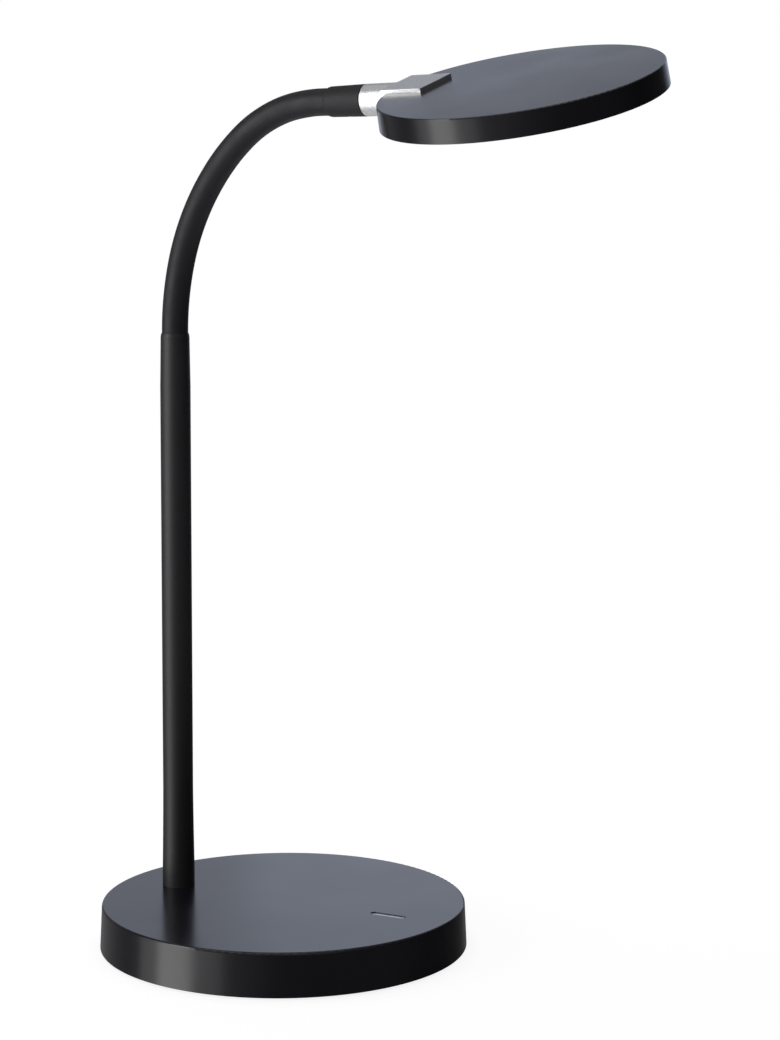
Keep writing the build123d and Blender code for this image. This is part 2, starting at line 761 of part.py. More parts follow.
def head_shell():
    r0, r1 = head_d / 2, head_d / 2 + head_draft
    top, low = head_n, head_n - head_t
    inner = r0 - head_wall
    shell = turned([(0, low), (r1, low), (r0, top), (0, top)])
    shell = fillet(rims(shell)[-1], head_edge_r)
    shell -= disc(2 * inner, head_t - head_top_t + past, low - past)
    shell -= disc(2 * (inner + hook_barb + groove_fit), groove_h, hook_n_top - groove_h + stack_gap)
    pilot = pan_gap + head_top_t - pan_skin
    for place in around(pan_screws, pan_screw_r, pan_screw_at):
        shell += place * boss(pan_boss_d, pan_screw_d, pilot, pan_n, head_n - head_top_t)
    shell = Pos(head_x, 0, 0) * shell
    shell -= along_x(disc(spigot_d + 2 * spigot_fit, head_x, 0))
    for place in tab_screw_places():
        shell -= place * disc(tab_screw_d + 2 * hole_fit, head_top_t + 2 * past, head_n - head_top_t - past)
    return head * shell


def light_pan():
    """Pressed aluminium pan that carries the LED strip inside its rim."""
    n0 = pan_n - pan_t
    pan = disc(2 * pan_r, pan_t, n0) + ring(2 * pan_r, 2 * (strip_r + strip_t), pan_rim_h, n0 - pan_rim_h)
    for place in around(pan_screws, pan_screw_r, pan_screw_at):
        pan -= place * disc(pan_screw_d + 2 * hole_fit, pan_t + 2 * past, n0 - past)
    half = terminal_w / 2 + terminal_fit
    pan -= block(-2 * pan_r, -strip_r, -half, half, n0 - pan_rim_h - past, pan_n + past)
    return lamp * pan


def pan_screw_set():
    one = Pos(0, 0, pan_n - pan_t) * flat_screw(pan_screw_d, pan_head_d, pan_head_h, pan_t + pan_grip)
    return [lamp * place * one for place in around(pan_screws, pan_screw_r, pan_screw_at)]


def reflector():
    sheet = disc(2 * guide_r, reflector_t, guide_n)
    for place in around(pan_screws, pan_screw_r, pan_screw_at):
        sheet -= place * disc(pan_head_d + past, reflector_t + 2 * past, guide_n - past)
    return lamp * sheet


def light_guide():
    return lamp * disc(2 * guide_r, guide_t, guide_n - guide_t)


def led_strip():
    strip = ring(2 * (strip_r + strip_t), 2 * strip_r, strip_h, guide_n - strip_h)
    half = terminal_w / 2
    x1 = -(strip_r + strip_t / 2)
    strip += block(x1 - terminal_l, x1, -half, half, -terminal_below, terminal_above)
    return lamp * strip


def led_chips():
    mid = guide_n - strip_h / 2
    half_l, half_w = chip_l / 2, chip_w / 2
    one = block(strip_r - chip_t, strip_r - chip_fit, -half_l, half_l, mid - half_w, mid + half_w)
    return [lamp * place * one for place in around(chip_n, 0, 180.0 / chip_n)]


def diffuser():
    return lamp * disc(2 * diffuser_r, diffuser_t, diffuser_n - diffuser_t)


def head_bezel():
    r, inner, barb_n = bezel_r, bezel_r - hook_t, hook_n_top - hook_barb_h
    bezel = ring(2 * r, 2 * (guide_r - bezel_lap), bezel_t, bezel_n - bezel_t)
    bezel = chamfer(rims(bezel).group_by(Axis.Z)[0].sort_by(SortBy.RADIUS)[0], bezel_edge)
    barb = [(r, barb_n), (r + hook_barb, barb_n), (r, hook_n_top)]
    hook = turned([(inner, bezel_n), (r, bezel_n)] + barb + [(inner, hook_n_top)])
    keep = block(0, r + past, -hook_w / 2, hook_w / 2, bezel_n - past, hook_n_top + past)
    for place in around(hook_n, 0, 180.0 / hook_n):
        bezel += hook & place * keep
    return lamp * bezel


# ---- leads inside ----
def lamp_lead():
    """Lead from the driver board through the pole, the neck and the bracket to the LED strip."""
    low = Plane.XZ * Line((plug_x0, z_lead), (pole_x + lead_bend_r, z_lead))
    turn = Plane.XZ * JernArc((pole_x + lead_bend_r, z_lead), (-1, 0), lead_bend_r, -90)
    end = head_x - strip_r - strip_t / 2 - terminal_l
    rise = z_lead + lead_bend_r
    upper = neck_path(pole_top_z - rise, ferrule_l + end)
    path = Wire([low.edge(), turn.edge()] + list((arm * upper).edges()))
    return sweep((path ^ 0) * Circle(lead_d / 2), path=path)


def touch_lead():
    """Lead from the touch board down to the driver board's end."""
    z1 = z_touch_board - touch_board_t - touch_lead_d / 2
    x1 = touch_x - touch_board_l / 2 + touch_lead_in
    x0 = board_x1 - touch_lead_out
    route = FilletPolyline((x1, 0, z1), (x0, 0, z1), (x0, 0, z_board), radius=touch_lead_r)
    return sweep((route ^ 0) * Circle(touch_lead_d / 2), path=route)


nodes = {
    "base_cover": base_cover,
    "base_bottom": base_bottom,
    "base_pad": base_pad,
    "bottom_screws": bottom_screw_set,
    "base_weight": weight,
    "weight_screws": weight_screw_set,
    "touch_bar": touch_bar,
    "touch_board": touch_board,
    "touch_chip": touch_chip,
    "touch_springs": touch_springs,
    "touch_screws": touch_screws,
    "touch_lead": touch_lead,
    "driver_board": driver_board,
    "board_parts": board_parts,
    "board_screws": board_screws,
    "lead_plug": lead_plug,
    "jack_body": jack_body,
    "jack_pin": jack_pin,
    "jack_contact": jack_contact,
    "pole_tube": pole_tube,
    "pole_stem": pole_stem,
    "pole_plate": pole_plate,
    "lock_washer": lock_washer,
    "pole_nut": pole_nut,
    "neck_socket": neck_socket,
    "neck_sleeve": neck_sleeve,
    "lamp_lead": lamp_lead,
    "head_ferrule": head_ferrule,
    "grub_screw": grub_screw,
    "swivel_stud": swivel_stud,
    "swivel_washer": swivel_washer,
    "head_bracket": head_bracket,
    "tab_screws": tab_screws,
    "head_shell": head_shell,
    "light_pan": light_pan,
    "pan_screws": pan_screw_set,
    "reflector": reflector,
    "light_guide": light_guide,
    "led_strip": led_strip,
    "led_chips": led_chips,
    "diffuser": diffuser,
    "head_bezel": head_bezel,
}


def part_name(k):
    if k == 0:
        return "neck_root"
    return "neck_end" if k == neck_hinges else f"neck_link_{k}"


def write(name, made):
    shape = Compound(children=list(made)) if isinstance(made, list) else made
    shape.label = name
    export_step(shape, f"parts/{name}.step")


os.makedirs("parts", exist_ok=True)
for name, make in nodes.items():
    write(name, make())
for k in range(neck_hinges + 1):
    write(part_name(k), neck_part(k))
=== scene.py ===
import json
from math import cos, pi, radians, sin

import bpy
from mathutils import Matrix, Vector


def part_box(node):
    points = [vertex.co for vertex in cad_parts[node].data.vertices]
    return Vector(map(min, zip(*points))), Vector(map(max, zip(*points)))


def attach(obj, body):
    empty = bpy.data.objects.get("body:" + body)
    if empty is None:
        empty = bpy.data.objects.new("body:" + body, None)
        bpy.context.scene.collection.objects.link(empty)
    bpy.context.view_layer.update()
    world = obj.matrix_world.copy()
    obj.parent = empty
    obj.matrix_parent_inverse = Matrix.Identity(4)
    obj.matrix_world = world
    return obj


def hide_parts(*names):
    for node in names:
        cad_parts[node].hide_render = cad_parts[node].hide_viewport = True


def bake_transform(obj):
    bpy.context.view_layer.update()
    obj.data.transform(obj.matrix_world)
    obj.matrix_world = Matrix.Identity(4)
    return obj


# Desk lamp on a bendable neck. Metres, +Z up, +X from the pole towards the touch bar.

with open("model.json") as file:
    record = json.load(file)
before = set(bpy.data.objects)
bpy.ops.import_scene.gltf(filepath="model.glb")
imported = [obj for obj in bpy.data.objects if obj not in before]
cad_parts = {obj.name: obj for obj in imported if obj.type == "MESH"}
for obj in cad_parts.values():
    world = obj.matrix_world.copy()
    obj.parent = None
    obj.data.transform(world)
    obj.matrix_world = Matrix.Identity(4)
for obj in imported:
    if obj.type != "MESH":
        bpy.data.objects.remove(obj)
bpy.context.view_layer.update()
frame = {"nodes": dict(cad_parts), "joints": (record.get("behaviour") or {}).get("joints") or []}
nodes = frame["nodes"]
joints = {joint["name"]: joint for joint in frame["joints"]}
mm = 0.001

# ---- camera ----
camera_distance = 1.4157
camera_azimuth = 29.874  # degrees round from the front, towards +X
camera_height = 16.738  # degrees above the table
camera_pitch = 5.748
camera_yaw = -2.249
camera_roll = 0.055
camera_focal = 2756.46  # in pixels of the picture
camera_reach = 20  # how far it sees
picture_h = 1040
picture_shift = -112.64
sensor = 36.0

# ---- neck, up from the pole ----
sleeve_d = 13.25 * mm
sleeve_bore = 11.0 * mm
sleeve_in = 5.8 * mm  # hidden in the pole's and the ferrule's mouth
ferrule_l = 21.5 * mm
lead_d = 2.4 * mm
lead_bend_r = 7.2 * mm
neck_links = 8

# ---- room ----
floor_r = 0.62
floor_z = -0.1 * mm  # a hair below the pad
floor_fade = 0.45  # share of its radius where the floor starts to fade
floor_end = 0.98  # share of its radius where it is gone
paper_colour = "#d8d8d8"
paper_shade = "#8f8f8f"
paper_glow = 0.86
white = "#ffffff"
cool_white = "#d9e5ff"
lamp_middle = Vector((0, 0, 0.22))
lamp_step = 10 * mm  # between the two lamps of one softbox


# ---- nodes of a material ----
def linear(colour):
    """An sRGB hex colour as linear RGBA."""
    parts = [int(colour[k : k + 2], 16) / 255 for k in (1, 3, 5)]
    return [c / 12.92 if c <= 0.04045 else ((c + 0.055) / 1.055) ** 2.4 for c in parts] + [1.0]


def add(tree, kind, links=None, **settings):
    """Adds a node, sets its properties and inputs by name, and links sockets to its inputs."""
    node = tree.nodes.new(kind)
    for name, value in settings.items():
        if name in node.inputs.keys() or name.replace("_", " ") in node.inputs.keys():
            node.inputs[name.replace("_", " ")].default_value = value
        else:
            setattr(node, name, value)
    for name, socket in (links or {}).items():
        tree.links.new(socket, node.inputs[name])
    return node


def material(name, **shader_inputs):
    """A material with one Principled shader, and the link to the place on the object for its patterns."""
    made = bpy.data.materials.new(name)
    made.use_nodes = True
    tree = made.node_tree
    shader = tree.nodes["Principled BSDF"]
    for key, value in shader_inputs.items():
        shader.inputs[key.replace("_", " ")].default_value = value
    place = {"Vector": add(tree, "ShaderNodeTexCoord").outputs["Object"]}
    return made, tree, shader, place


def wear(tree, shader, tone, colours, shine, roughness, dents=None, depth=0.0, strength=1.0):
    """Patterns move the colour and the roughness between two values, and raise dents by `depth` metres."""
    start, end = 0.35, 0.65  # where a pattern's middle lies
    ramp = add(tree, "ShaderNodeValToRGB", {"Fac": tone})
    for stop, where, colour in zip(ramp.color_ramp.elements, (start, end), colours):
        stop.position = where
        stop.color = linear(colour)
    span = {"From_Min": start, "From_Max": end, "To_Min": roughness[0], "To_Max": roughness[1]}
    ranged = add(tree, "ShaderNodeMapRange", {"Value": shine}, **span)
    tree.links.new(ramp.outputs["Color"], shader.inputs["Base Color"])
    tree.links.new(ranged.outputs["Result"], shader.inputs["Roughness"])
    if dents:
        bump = add(tree, "ShaderNodeBump", {"Height": dents}, Strength=strength, Distance=depth)
        tree.links.new(bump.outputs["Normal"], shader.inputs["Normal"])


# ---- what the lamp is made of ----
def moulded_abs(name, dark, pale, roughness, spark=0.4 * mm):
    """Moulded ABS from a spark-eroded tool: a satin skin whose shine breaks up a little."""
    made, tree, shader, place = material(name, IOR=1.5)
    # the real grain is 0.1 mm; drawn coarser so that it shows
    skin = add(tree, "ShaderNodeTexNoise", place, Scale=1 / spark).outputs["Fac"]
    handled = add(tree, "ShaderNodeTexNoise", place, Scale=1 / (38 * mm), Detail=1.0).outputs["Fac"]
    satin = (roughness - 0.015, roughness + 0.02)
    wear(tree, shader, handled, (dark, pale), handled, satin, skin, 0.004 * mm)
    return made


def powder_coat(name, dark, pale, roughness):
    """Powder coat on metal: black, with the faint orange peel of a cured powder."""
    made, tree, shader, place = material(name, IOR=1.5)
    peel = add(tree, "ShaderNodeTexNoise", place, Scale=1 / (1.1 * mm), Detail=1.0).outputs["Fac"]
    cure = add(tree, "ShaderNodeTexNoise", place, Scale=1 / (22 * mm), Detail=1.0).outputs["Fac"]
    satin = (roughness - 0.02, roughness + 0.03)
    wear(tree, shader, cure, (dark, pale), peel, satin, peel, 0.008 * mm)
    return made


def extruded_silicone(name):
    """Extruded silicone rubber: matt black, with a faint cloudy bloom and a dry skin."""
    made, tree, shader, place = material(name, IOR=1.41)
    bloom = add(tree, "ShaderNodeTexNoise", place, Scale=1 / (7 * mm)).outputs["Fac"]
    # the real skin's grain is under 0.1 mm; drawn coarser so that it shows
    skin = add(tree, "ShaderNodeTexNoise", place, Scale=1 / (0.35 * mm)).outputs["Fac"]
    wear(tree, shader, bloom, ("#17161b", "#1c1b21"), bloom, (0.5, 0.58), skin, 0.006 * mm)
    return made


def blasted_aluminium(name):
    """Die-cast aluminium, bead-blasted: a soft grey metal with a fine sparkle from the dents."""
    made, tree, shader, place = material(name, Metallic=1.0)
    # the real dents are 0.2 mm across; drawn coarser so that they show
    dents = add(tree, "ShaderNodeTexVoronoi", place, Scale=1 / (0.9 * mm)).outputs["Distance"]
    haze = add(tree, "ShaderNodeTexNoise", place, Scale=1 / (0.7 * mm), Detail=3.0).outputs["Fac"]
    wear(tree, shader, haze, ("#d2d3d4", "#f2f2f2"), haze, (0.33, 0.45), dents, 0.11 * mm)
    return made


def satin_aluminium(name):
    """Anodised strip, brushed along its length."""
    made, tree, shader, place = material(name, Metallic=1.0)
    along = {"Vector": add(tree, "ShaderNodeMapping", place, Scale=(0.05, 1.0, 1.0)).outputs["Vector"]}
    brush = add(tree, "ShaderNodeTexNoise", along, Scale=1 / (0.12 * mm)).outputs["Fac"]
    wear(tree, shader, brush, ("#dcdee0", "#eceded"), brush, (0.2, 0.34))
    return made


def sheet_aluminium(name):
    """Pressed sheet with its mill finish: faint lines from the rolls."""
    made, tree, shader, place = material(name, Metallic=1.0)
    rolled = {"Vector": add(tree, "ShaderNodeMapping", place, Scale=(1.0, 0.04, 1.0)).outputs["Vector"]}
    lines = add(tree, "ShaderNodeTexNoise", rolled, Scale=1 / (0.4 * mm), Detail=3.0).outputs["Fac"]
    wear(tree, shader, lines, ("#d0d2d4", "#e4e5e6"), lines, (0.28, 0.42))
    return made


def zinc_plate(name):
    """Bright zinc on steel, a little cloudy."""
    made, tree, shader, place = material(name, Metallic=1.0)
    cloud = add(tree, "ShaderNodeTexNoise", place, Scale=1 / (2.5 * mm), Detail=3.0).outputs["Fac"]
    wear(tree, shader, cloud, ("#aeb2b6", "#c6c9cc"), cloud, (0.26, 0.4))
    return made


def raw_casting(name):
    """Grey iron as it leaves the sand, dull and pitted."""
    made, tree, shader, place = material(name, Metallic=0.6)
    sand = add(tree, "ShaderNodeTexNoise", place, Scale=1 / (0.9 * mm), Detail=4.0).outputs["Fac"]
    stain = add(tree, "ShaderNodeTexNoise", place, Scale=1 / (14 * mm), Detail=3.0).outputs["Fac"]
    wear(tree, shader, stain, ("#3c3b3b", "#5a5856"), sand, (0.6, 0.85), sand, 0.2 * mm)
    return made


def cut_foam(name):
    """Closed-cell foam rubber, cut from a sheet: matt, with open pores."""
    made, tree, shader, place = material(name, IOR=1.45)
    # the real pores are 0.4 mm; drawn coarser so that they show
    pores = add(tree, "ShaderNodeTexVoronoi", place, Scale=1 / (0.9 * mm)).outputs["Distance"]
    tone = add(tree, "ShaderNodeTexNoise", place, Scale=1 / (6 * mm)).outputs["Fac"]
    wear(tree, shader, tone, ("#1d1d1f", "#26262a"), tone, (0.88, 0.97), pores, 0.25 * mm, 0.7)
    return made


def opal_acrylic(name):
    """Opal PMMA sheet: milky white, with a satin face that hides the light guide."""
    milk = {"Subsurface_Weight": 0.35, "Subsurface_Scale": 1.2 * mm}
    made, tree, shader, place = material(name, IOR=1.49, **milk)
    frost = add(tree, "ShaderNodeTexNoise", place, Scale=1 / (0.5 * mm)).outputs["Fac"]
    wear(tree, shader, frost, ("#efeee9", "#f4f3ef"), frost, (0.38, 0.46), frost, 0.005 * mm)
    return made


def clear_acrylic(name):
    """Polished PMMA light guide, with rows of small white dots printed on its back."""
    made, tree, shader, place = material(name, IOR=1.49, Transmission_Weight=0.9, Roughness=0.03)
    dots = add(tree, "ShaderNodeTexVoronoi", place, Scale=1 / (1.6 * mm), Randomness=0.0)
    ramp = add(tree, "ShaderNodeValToRGB", {"Fac": dots.outputs["Distance"]})
    ramp.color_ramp.interpolation = "CONSTANT"
    ramp.color_ramp.elements[1].position = 0.3
    ramp.color_ramp.elements[0].color = linear(white)
    ramp.color_ramp.elements[1].color = linear("#eef4f6")
    tree.links.new(ramp.outputs["Color"], shader.inputs["Base Color"])
    return made


def white_film(name):
    """White polyester film: a matt, even white."""
    made, tree, shader, place = material(name, IOR=1.6)
    fibre = add(tree, "ShaderNodeTexNoise", place, Scale=1 / (1.5 * mm)).outputs["Fac"]
    wear(tree, shader, fibre, ("#eaeae8", "#f2f2f1"), fibre, (0.55, 0.65))
    return made


def solder_mask(name):
    """Glass-epoxy board under green solder mask: glossy over a faint weave."""
    made, tree, shader, place = material(name, IOR=1.55)
    weave = add(tree, "ShaderNodeTexChecker", place, Scale=1 / (0.7 * mm)).outputs["Fac"]
    flow = add(tree, "ShaderNodeTexNoise", place, Scale=1 / (5 * mm)).outputs["Fac"]
    wear(tree, shader, weave, ("#1f6039", "#1d5a36"), flow, (0.18, 0.28))
    return made


def moulded_plastic(name, dark, pale, roughness=0.4):
    """Small moulded or extruded parts: even colour and a soft shine."""
    made, tree, shader, place = material(name, IOR=1.53)
    flow = add(tree, "ShaderNodeTexNoise", place, Scale=1 / (3 * mm)).outputs["Fac"]
    wear(tree, shader, flow, (dark, pale), flow, (roughness - 0.04, roughness + 0.06))
    return made


def plated_brass(name):
    """Bright yellow metal with a drawn finish."""
    made, tree, shader, place = material(name, Metallic=1.0)
    drawn = add(tree, "ShaderNodeTexNoise", place, Scale=1 / (0.8 * mm)).outputs["Fac"]
    wear(tree, shader, drawn, ("#cdb06a", "#dcc482"), drawn, (0.22, 0.34))
    return made


housing_finish = moulded_abs("satin_moulded_abs", "#0f0c13", "#120f16", 0.21)
cover_finish = moulded_abs("textured_moulded_abs", "#17181b", "#1c1d20", 0.5, 0.8 * mm)
pole_finish = powder_coat("satin_powder_coat", "#161619", "#1a1a1d", 0.48)
ferrule_finish = powder_coat("matt_powder_coat", "#0c0c10", "#100f14", 0.62)
sleeve_finish = extruded_silicone("matt_silicone")
bracket_finish = blasted_aluminium("bead_blasted_aluminium")
touch_finish = satin_aluminium("brushed_aluminium")
pan_finish = sheet_aluminium("mill_finish_aluminium")
zinc_finish = zinc_plate("zinc_plated_steel")
iron_finish = raw_casting("raw_cast_iron")
pad_finish = cut_foam("foam_rubber")
opal_finish = opal_acrylic("opal_acrylic")
guide_finish = clear_acrylic("clear_acrylic")
film_finish = white_film("white_polyester_film")
board_finish = solder_mask("green_solder_mask")
chip_finish = moulded_plastic("black_epoxy", "#18181a", "#1e1e20", 0.5)
jack_finish = moulded_plastic("black_nylon", "#141416", "#191a1c", 0.36)
plug_finish = moulded_plastic("natural_nylon", "#d9d3c0", "#e2ddcc")
phosphor_finish = moulded_plastic("yellow_phosphor", "#d8b84a", "#e4c75e", 0.3)
lead_finish = moulded_plastic("pvc_jacket", "#1c1c1e", "#232325", 0.48)
brass_finish = plated_brass("plated_brass")


def paint(finish, *names):
    """Gives CAD nodes a finish."""
    for name in names:
        nodes[name].data.materials.clear()
        nodes[name].data.materials.append(finish)


hose_nodes = ["neck_root", "neck_end"] + [f"neck_link_{k}" for k in range(1, neck_links + 1)]
paint(housing_finish, "base_cover", "head_shell", "head_bezel")
paint(cover_finish, "base_bottom")
paint(pole_finish, "pole_tube")
paint(ferrule_finish, "head_ferrule")
paint(bracket_finish, "head_bracket")
paint(touch_finish, "touch_bar")
paint(pan_finish, "light_pan")
paint(zinc_finish, "bottom_screws", "weight_screws", "touch_springs", "touch_screws", "board_screws")
paint(zinc_finish, "pole_stem", "pole_plate", "lock_washer", "pole_nut", "neck_socket", "grub_screw")
paint(zinc_finish, "swivel_stud", "swivel_washer", "tab_screws", "pan_screws", *hose_nodes)
paint(iron_finish, "base_weight")
paint(pad_finish, "base_pad")
paint(opal_finish, "diffuser")
paint(guide_finish, "light_guide")
paint(film_finish, "reflector", "led_strip")
paint(board_finish, "touch_board", "driver_board")
paint(chip_finish, "touch_chip", "board_parts")
paint(jack_finish, "jack_body")
paint(plug_finish, "lead_plug")
paint(phosphor_finish, "led_chips")
paint(lead_finish, "touch_lead")
paint(brass_finish, "jack_pin", "jack_contact")

# ---- the line that the neck follows ----
pole_low, pole_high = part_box("pole_tube")
pole_top = Vector(((pole_low.x + pole_high.x) / 2, (pole_low.y + pole_high.y) / 2, pole_high.z))
neck_joints = [joint for joint in frame["joints"] if joint["name"].startswith("neck_")]
tip = Vector(joints["head_swivel"]["pos_m"])
arm_axis = Vector(joints["head_swivel"]["axis"])
arm_side = Vector(joints["neck_bend_1"]["axis"])
mouth = tip - arm_axis * ferrule_l
run = 18 * mm  # straight stretch past either end
stations = [pole_top - Vector((0, 0, run)), pole_top]
stations += [Vector(joint["pos_m"]) for joint in neck_joints]
stations += [mouth, mouth + arm_axis * run]


def heading(k):
    """Direction of the neck's line at a station, from the runs on both sides of it."""
    if k == 0:
        return (stations[1] - stations[0]).normalized()
    if k == len(stations) - 1:
        return arm_axis.normalized()
    before, after = stations[k] - stations[k - 1], stations[k + 1] - stations[k]
    return (before.normalized() * after.length + after.normalized() * before.length).normalized()


def neck_at(u):
    """Point and direction on the neck's line; a whole u is a station."""
    k = min(int(u), len(stations) - 2)
    a, b = stations[k], stations[k + 1]
    length = (b - a).length
    ma, mb = heading(k) * length, heading(k + 1) * length
    t = u - k
    point = a * (2 * t**3 - 3 * t**2 + 1) + ma * (t**3 - 2 * t**2 + t)
    point += b * (3 * t**2 - 2 * t**3) + mb * (t**3 - t**2)
    slope = a * (6 * t**2 - 6 * t) + ma * (3 * t**2 - 4 * t + 1)
    slope += b * (6 * t - 6 * t**2) + mb * (3 * t**2 - 2 * t)
    return point, slope.normalized()


def tube(name, line, outer, inner, finish, around=48, crease=40):
    """Closed tube along (point, direction) pairs; with no inner radius its ends are plain discs."""
    turns = [2 * pi * k / around for k in range(around)]
    rings = []
    for point, direction in line:
        lift = arm_side.cross(direction).normalized()
        rings.append([arm_side * cos(a) + lift * sin(a) for a in turns])
    points, faces = [], []
    for radius in (outer, inner) if inner else (outer,):
        for (point, direction), spokes in zip(line, rings):
            points += [point + spoke * radius for spoke in spokes]
    last = (len(line) - 1) * around
    shift = len(line) * around
    for k in range(around):
        j = (k + 1) % around
        for row in range(0, last, around):
            faces.append((row + k, row + j, row + around + j, row + around + k))
            if inner:
                low, high = shift + row, shift + row + around
                faces.append((high + k, high + j, low + j, low + k))
        if inner:
            faces.append((k, shift + k, shift + j, j))
            faces.append((last + j, shift + last + j, shift + last + k, last + k))
    if not inner:
        faces.append(tuple(reversed(range(around))))
        faces.append(tuple(last + k for k in range(around)))
    mesh = bpy.data.meshes.new(name)
    mesh.from_pydata([tuple(p) for p in points], [], faces)
    mesh.materials.append(finish)
    mesh.shade_smooth()
    mesh.set_sharp_from_angle(angle=radians(crease))
    made = bpy.data.objects.new(name, mesh)
    bpy.context.scene.collection.objects.link(made)
    return made


def stretch(u0, u1, step=1.0 * mm):
    """Line of the neck between two places, in even steps."""
    count = max(2, round((neck_at(u1)[0] - neck_at(u0)[0]).length / step))
    return [neck_at(u0 + (u1 - u0) * k / count) for k in range(count + 1)]


def bending_tubes(name, outer, inner, finish, node, into):
    """One tube round each hinge of the neck; neighbouring pieces meet half-way between two hinges."""
    for k in range(neck_links + 1):
        first, last = k == 0, k == neck_links
        start = 1.0 if first else k + 1.5  # half-way between two hinges
        end = k + 3.0 if last else k + 2.5
        low = start - into / run if first else start
        high = end + into / run if last else end
        piece = tube(f"{name}_{k + 1}", stretch(low, high), outer, inner, finish)
        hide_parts(node)
        neck_at(start)[0]
        neck_at(end)[0]
        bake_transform(piece)


bending_tubes("sleeve", sleeve_d / 2, sleeve_bore / 2, sleeve_finish, "neck_sleeve", sleeve_in)
bending_tubes("lead_in_neck", lead_d / 2, None, lead_finish, "lamp_lead", sleeve_in)


# ---- lamp lead below and above the neck ----
def lead_in_pole():
    """From the connector along the driver board and up the pole."""
    lead_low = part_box("lamp_lead")[0]
    plug_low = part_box("lead_plug")[0]
    level = lead_low.z + lead_d / 2
    line = [(Vector((plug_low.x, 0, level)), Vector((-1, 0, 0)))]
    centre = Vector((pole_top.x + lead_bend_r, 0, level + lead_bend_r))
    steps = 12
    for k in range(steps + 1):
        a = radians(90 * k / steps)
        line.append((centre - Vector((sin(a), 0, cos(a))) * lead_bend_r, Vector((-cos(a), 0, sin(a)))))
    line.append((neck_at(1 - sleeve_in / run)[0], Vector((0, 0, 1))))
    return line


def lead_in_head():
    """From the ferrule through the stud to the strip's terminal."""
    start = mouth + arm_axis * sleeve_in
    reach = (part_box("lamp_lead")[1].x - start.x) / arm_axis.x
    steps = 20
    return [(start + arm_axis * reach * k / steps, arm_axis) for k in range(steps + 1)]


lead_ends = {}
for name, line in (("lead_in_pole", lead_in_pole()), ("lead_in_head", lead_in_head())):
    lead_ends[name] = tube(name, line, lead_d / 2, None, lead_finish)
    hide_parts("lamp_lead")
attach(lead_ends["lead_in_pole"], "base")
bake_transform(lead_ends["lead_in_head"])

# ---- floor, backdrop and lamps ----
turn = radians(camera_azimuth + camera_yaw)
ahead = Vector((-sin(turn), cos(turn), 0))  # from the camera towards the lamp, level
right = Vector((cos(turn), sin(turn), 0))
up = Vector((0, 0, 1))


def seen_straight(tree, ray):
    """1 for what the camera sees, also through a clear piece."""
    sockets = {0: ray.outputs["Is Camera Ray"], 1: ray.outputs["Is Transmission Ray"]}
    return add(tree, "ShaderNodeMath", sockets, operation="MAXIMUM").outputs["Value"]


def floor():
    """Round pale table top, faded at its edge; polished faces, and eyes from below, look past it."""
    count = 96
    turns = [2 * pi * k / count for k in range(count)]
    points = [(floor_r * cos(a), floor_r * sin(a), floor_z) for a in turns]
    mesh = bpy.data.meshes.new("floor")
    mesh.from_pydata(points, [], [tuple(range(count))])
    made, tree, shader, place = material("white_paper", Base_Color=linear(paper_colour), Roughness=0.9)
    shader.inputs["Specular IOR Level"].default_value = 0.0
    ray = add(tree, "ShaderNodeLightPath")
    glow = add(tree, "ShaderNodeEmission", Strength=paper_glow)
    shade = add(tree, "ShaderNodeBsdfDiffuse", Color=linear(paper_shade))
    seen = add(tree, "ShaderNodeAddShader", {0: glow.outputs["Emission"], 1: shade.outputs["BSDF"]})
    sockets = {0: seen_straight(tree, ray), 1: shader.outputs["BSDF"], 2: seen.outputs["Shader"]}
    paper = add(tree, "ShaderNodeMixShader", sockets)
    away = add(tree, "ShaderNodeVectorMath", {0: place["Vector"]}, operation="LENGTH").outputs["Value"]
    span = {"From_Min": floor_fade * floor_r, "From_Max": floor_end * floor_r}
    fade = add(tree, "ShaderNodeMapRange", {"Value": away}, interpolation_type="SMOOTHSTEP", **span)
    under = add(tree, "ShaderNodeNewGeometry").outputs["Backfacing"]
    hidden = fade.outputs["Result"]
    for other in (ray.outputs["Is Glossy Ray"], under):
        hidden = add(tree, "ShaderNodeMath", {0: hidden, 1: other}, operation="MAXIMUM").outputs["Value"]
    clear = add(tree, "ShaderNodeBsdfTransparent")
    sockets = {0: hidden, 1: paper.outputs["Shader"], 2: clear.outputs["BSDF"]}
    mixed = add(tree, "ShaderNodeMixShader", sockets)
    tree.links.new(mixed.outputs["Shader"], tree.nodes["Material Output"].inputs["Surface"])
    mesh.materials.append(made)
    sheet = bpy.data.objects.new("floor", mesh)
    bpy.context.scene.collection.objects.link(sheet)


def softbox(name, place, target, width, height, light=0.0, shine=0.0, colour=white):
    """Softbox that looks at a point: `light` is what matt faces get, `shine` what polished ones see."""
    forward = (target - place).normalized()
    # one lamp behind the other, so that a ray can meet both
    for use, brightness, step in (("light", light, 0), ("shine", shine, lamp_step)):
        if not brightness:
            continue
        data = bpy.data.lights.new(f"{name}_{use}", "AREA")
        data.shape = "RECTANGLE"
        data.size = width
        data.size_y = height
        data.energy = brightness * pi * width * height
        data.color = linear(colour)[:3]
        lamp = bpy.data.objects.new(f"{name}_{use}", data)
        lamp.location = place + forward * step
        lamp.rotation_euler = forward.to_track_quat("-Z", "Y").to_euler()
        lamp.visible_camera = False
        lamp.visible_diffuse = use == "light"
        lamp.visible_glossy = use == "shine"
        bpy.context.scene.collection.objects.link(lamp)


def from_left(angle):
    """Level direction, `angle` degrees to the left of the camera as the lamp sees it."""
    side = radians(angle)
    return -ahead * cos(side) - right * sin(side)


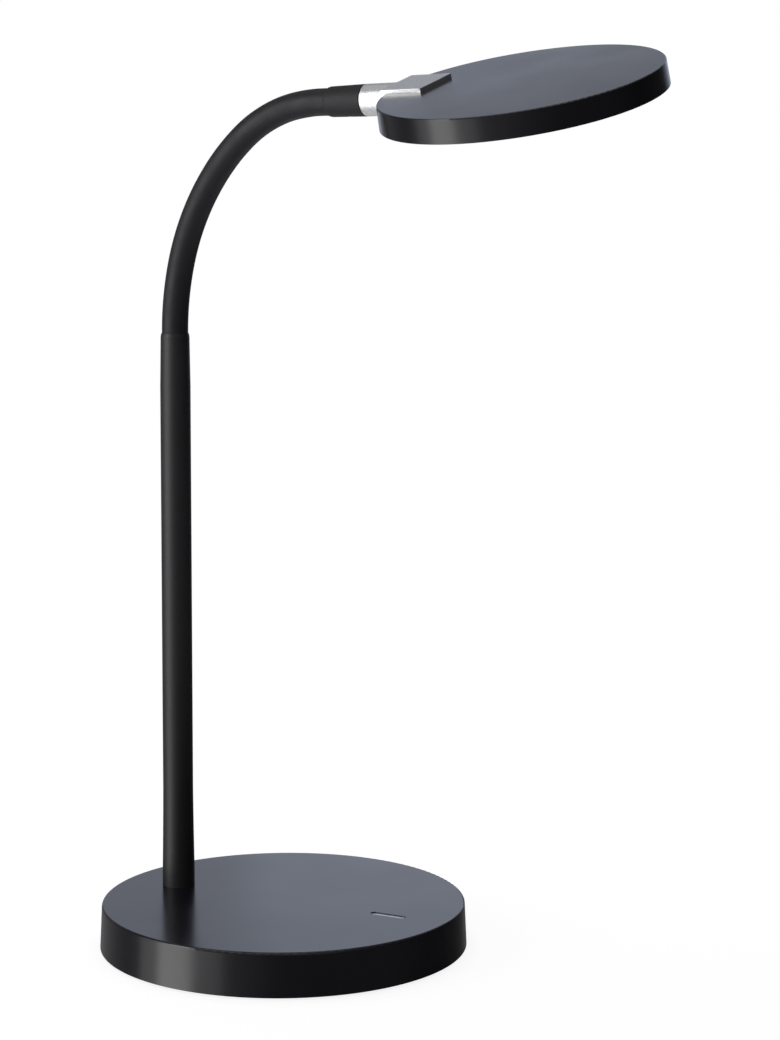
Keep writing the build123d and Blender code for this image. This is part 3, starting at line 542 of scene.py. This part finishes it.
def studio():
    """Softbox on the left with a brighter middle and top, panels behind and in front, one overhead."""
    middle = up * 0.3
    softbox("left_softbox", from_left(65) * 1.56 + middle, middle, 1.8, 1.8, light=1.5, shine=0.78)
    low = up * 0.2
    softbox("left_core", from_left(67) * 1.52 + low, low, 0.66, 1.8, shine=2.2)
    high = from_left(67) * 1.48 + up * 1.1
    softbox("left_hot", high, lamp_middle, 0.6, 0.8, shine=4.0)
    behind = ahead * 1.6 + up * 0.62
    softbox("back_panel", behind + right * 0.1, behind - ahead, 1.6, 1.1, 0.45, 0.45, cool_white)
    core = behind + right * 0.6 - ahead * 0.04
    softbox("back_core", core, core - ahead, 1.4, 1.1, 0.27, 0.27, cool_white)
    front = -ahead * 1.5 + right * 0.3 + up * 1.15
    softbox("front_panel", front, up * 0.3, 2.2, 0.8, light=0.4, shine=0.4)
    above = up * 1.9 + ahead * 0.2
    softbox("overhead", above, Vector((0, 0, 0)), 1.4, 1.4, light=2.2, shine=0.66)


def toward(tree, way, direction, edge, levels):
    """A number that goes between two levels as a direction turns towards the given one."""
    turned = add(tree, "ShaderNodeVectorMath", {0: way}, operation="DOT_PRODUCT")
    turned.inputs[1].default_value = direction.normalized()
    span = {"From_Min": edge[0], "From_Max": edge[1], "To_Min": levels[0], "To_Max": levels[1]}
    return add(tree, "ShaderNodeMapRange", {"Value": turned.outputs["Value"]}, **span).outputs["Result"]


def backdrop():
    """White behind the lamp; matt faces get a dim room, and polished ones see each side of it."""
    world = bpy.data.worlds.new("studio")
    world.use_nodes = True
    tree = world.node_tree
    room = tree.nodes["Background"]
    room.inputs["Color"].default_value = linear("#dcdcdf")
    paper = add(tree, "ShaderNodeBackground", Color=linear(white), Strength=1.0)
    way = add(tree, "ShaderNodeTexCoord").outputs["Generated"]
    sheen = toward(tree, way, ahead - right * 0.5, (0.55, 0.95), (0.12, 0.3))  # wall behind
    sides = (
        (-up, (0.25, 0.6), (0.0, 0.9), "MAXIMUM"),  # pale floor
        (from_left(60), (0.5, 0.95), (0.12, 0.5), "MAXIMUM"),  # wall round the softbox
        (right + ahead * 0.5, (0.7, 0.95), (1.0, 0.4), "MULTIPLY"),  # dark curtain
        (up, (0.35, 0.65), (0.0, 0.3), "MAXIMUM"),  # ceiling
    )
    for direction, edge, levels, joining in sides:
        side = toward(tree, way, direction, edge, levels)
        sheen = add(tree, "ShaderNodeMath", {0: sheen, 1: side}, operation=joining).outputs["Value"]
    ray = add(tree, "ShaderNodeLightPath")
    level = add(tree, "ShaderNodeMix", {"Factor": ray.outputs["Is Glossy Ray"], "B": sheen}, A=0.14)
    tree.links.new(level.outputs["Result"], room.inputs["Strength"])
    sockets = {0: seen_straight(tree, ray), 1: room.outputs["Background"], 2: paper.outputs["Background"]}
    mixed = add(tree, "ShaderNodeMixShader", sockets)
    tree.links.new(mixed.outputs["Shader"], tree.nodes["World Output"].inputs["Surface"])
    bpy.context.scene.world = world


def camera():
    """Camera at its fitted place, aimed a little aside from the lamp."""
    azimuth, height = radians(camera_azimuth), radians(camera_height)
    pitch, roll = radians(camera_pitch), radians(camera_roll)
    outward = Vector((cos(height) * sin(azimuth), -cos(height) * cos(azimuth), sin(height)))
    view = ahead * cos(pitch) - up * sin(pitch)
    across = right * cos(roll) + right.cross(view) * sin(roll)
    data = bpy.data.cameras.new("camera")
    data.sensor_width = sensor
    data.lens = camera_focal * sensor / picture_h
    data.shift_y = picture_shift / picture_h
    data.clip_end = camera_reach
    made = bpy.data.objects.new("camera", data)
    axes = Matrix((across, across.cross(view), -view)).transposed()
    made.matrix_world = Matrix.Translation(outward * camera_distance) @ axes.to_4x4()
    bpy.context.scene.collection.objects.link(made)
    bpy.context.scene.camera = made


floor()
studio()
backdrop()
camera()
bpy.context.scene.view_settings.view_transform = "Standard"
